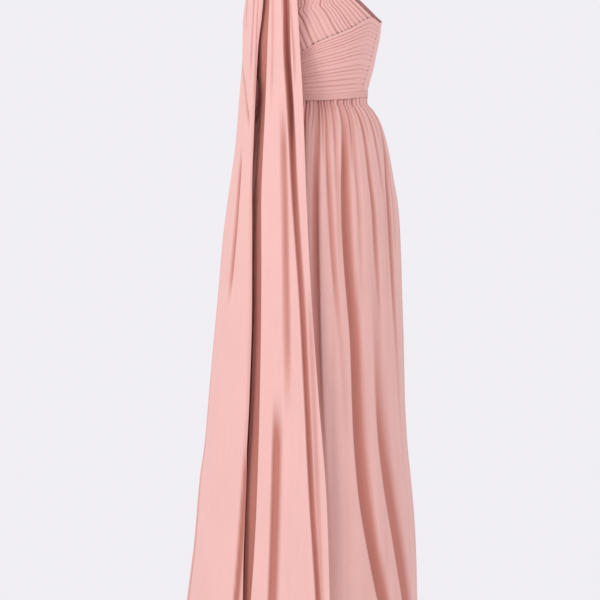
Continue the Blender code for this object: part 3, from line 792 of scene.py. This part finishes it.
def cloth(name, shape, columns, rows, size, material, full_shade_depth=0.006, closed=False):
    """A thin shell of cloth from a flat grid; `size` is its cut width and length."""
    grid = bmesh.new()
    uv = grid.loops.layers.uv.new("cloth")
    bmesh.ops.create_grid(grid, x_segments=columns, y_segments=rows, size=0.5)
    flat = np.array([vertex.co for vertex in grid.verts])
    u = np.round((flat[:, 0] + 0.5) * columns) / columns
    v = np.round((0.5 - flat[:, 1]) * rows) / rows
    placed, relief = shape(u, v)
    placed = placed + np.array([SHOULDER_OUT, 0.0, 0.0])
    for face in grid.faces:
        for loop in face.loops:
            i = loop.vert.index
            loop[uv].uv = (u[i] * size[0], v[i] * size[1])
    # painted shade mask: how far each point is sunk into its folds, as a share of the depth where
    # the painted shade is full
    fold_shaded = grid.verts.layers.float.new("fold")
    for vertex, point, deep in zip(grid.verts, placed, np.clip(-relief / full_shade_depth, 0, 1)):
        vertex.co = point
        vertex[fold_shaded] = deep
    if closed:
        bmesh.ops.remove_doubles(grid, verts=grid.verts, dist=0.00001)
    mesh = bpy.data.meshes.new(name)
    grid.to_mesh(mesh)
    grid.free()
    mesh.materials.append(material)
    mesh.shade_smooth()
    piece = bpy.data.objects.new(name, mesh)
    bpy.context.scene.collection.objects.link(piece)
    wall = piece.modifiers.new("Thickness", "SOLIDIFY")
    wall.thickness = CLOTH
    wall.offset = -1.0
    return piece


def area_light(name, place, target, size, power, colour):
    """A soft round lamp turned towards its target."""
    light = bpy.data.lights.new(name, "AREA")
    light.shape = "DISK"
    light.size = size
    light.energy = power
    light.color = colour
    lamp = bpy.data.objects.new(name, light)
    lamp.location = place
    lamp.rotation_euler = (Vector(target) - Vector(place)).to_track_quat("-Z", "Y").to_euler()
    bpy.context.scene.collection.objects.link(lamp)


def studio():
    """A pale emissive floor under a sky of the same colour, soft lamps, and the camera at the
    photograph's angle.
    """
    middle = Vector((SHOULDER_OUT + MIDDLE_REACH * math.cos(VIEW_TURN),
                     MIDDLE_REACH * math.sin(VIEW_TURN), MIDDLE_Z))
    away = Vector((math.sin(VIEW_TURN), -math.cos(VIEW_TURN), 0))
    camera = bpy.data.cameras.new("camera")
    camera.lens = camera.sensor_width * CAMERA_DISTANCE / (PHOTO_PIXELS / PIXELS_PER_METRE)
    eye = bpy.data.objects.new("camera", camera)
    eye.location = middle + away * CAMERA_DISTANCE
    eye.rotation_euler = (-away).to_track_quat("-Z", "Y").to_euler()
    bpy.context.scene.collection.objects.link(eye)
    bpy.context.scene.camera = eye

    paper = bpy.data.materials.new("pale_paper")
    paper.use_nodes = True
    shader = paper.node_tree.nodes["Principled BSDF"]
    shader.inputs["Base Color"].default_value = (0, 0, 0, 1)
    shader.inputs["Roughness"].default_value = 1.0
    shader.inputs["Specular IOR Level"].default_value = 0.0
    shader.inputs["Emission Color"].default_value = (*PAPER, 1)
    shader.inputs["Emission Strength"].default_value = 1.0
    bpy.ops.mesh.primitive_plane_add(size=60, location=(0, 0, HEM_Z - 0.03))
    floor = bpy.context.object
    floor.name = "floor"
    floor.data.materials.append(paper)

    world = bpy.data.worlds.new("studio")
    world.use_nodes = True
    sky = world.node_tree.nodes["Background"]
    sky.inputs["Color"].default_value = (*PAPER, 1)
    sky.inputs["Strength"].default_value = 1.0
    bpy.context.scene.world = world
    chest = (SHOULDER_OUT, 0.0, -0.7)
    area_light("key", (-2.4, -3.6, 1.0), chest, 1.6, 60, (1.0, 0.97, 0.94))
    area_light("fill", (3.4, -3.0, -0.2), chest, 2.0, 18, (1.0, 0.96, 0.95))
    bpy.context.scene.view_settings.view_transform = "Standard"


def pieces(finish):
    """Every cloth piece of the dress, over the solid that it stands for."""
    table = [              # node, shape, columns, rows, cut width and length, flat area, slot
        ("bodice_front_upper", bodice_front_upper, 240, 80, (0.36, 0.30), 0.070, "bodice_chiffon"),
        ("bodice_front_wrap", bodice_front_wrap, 110, 180, (0.40, 0.20), 0.050, "bodice_chiffon"),
        ("bodice_back", bodice_back, 200, 110, (0.50, 0.36), 0.095, "bodice_chiffon"),
        ("waistband", waistband, 480, 12, (0.67, 0.0145), None, "waistband_chiffon"),
        ("skirt_front", skirt_front, 340, 130, (0.72, 1.16), None, "skirt_chiffon"),
        ("skirt_back", skirt_back, 340, 130, (0.74, 1.16), None, "skirt_chiffon"),
        ("drape_front", drape_front, 150, 190, (0.24, 1.52), 0.30, "drape_chiffon"),
        ("drape_side", drape_side, 170, 190, (0.42, 1.52), 0.60, "drape_chiffon"),
    ]
    for node, shape, columns, rows, size, area, slot in table:
        piece = cloth(node + "_cloth", shape, columns, rows, size, finish[slot],
                      closed=node == "waistband")
        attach(piece, "root")
        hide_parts(node)


def finishes():
    """The chiffon of each material slot, each with painted shade in its folds."""
    weave_with_shade = chiffon_group()
    # painted shade: a deep warm colour mixed in where the cloth is sunk, standing in for the
    # reddened shadow in the valleys
    warm_fold_shade = (0.52, 0.20, 0.16)
    return {
        "bodice_chiffon": chiffon("bodice_cloth", weave_with_shade, (0.80, 0.46, 0.42), warm_fold_shade),
        "waistband_chiffon": chiffon("waistband_cloth", weave_with_shade, (0.76, 0.42, 0.38), warm_fold_shade, 0.6),
        "skirt_chiffon": chiffon("skirt_cloth", weave_with_shade, (0.76, 0.44, 0.40), warm_fold_shade),
        "drape_chiffon": chiffon("drape_cloth", weave_with_shade, (0.82, 0.48, 0.44), warm_fold_shade),
    }


studio()
pieces(finishes())
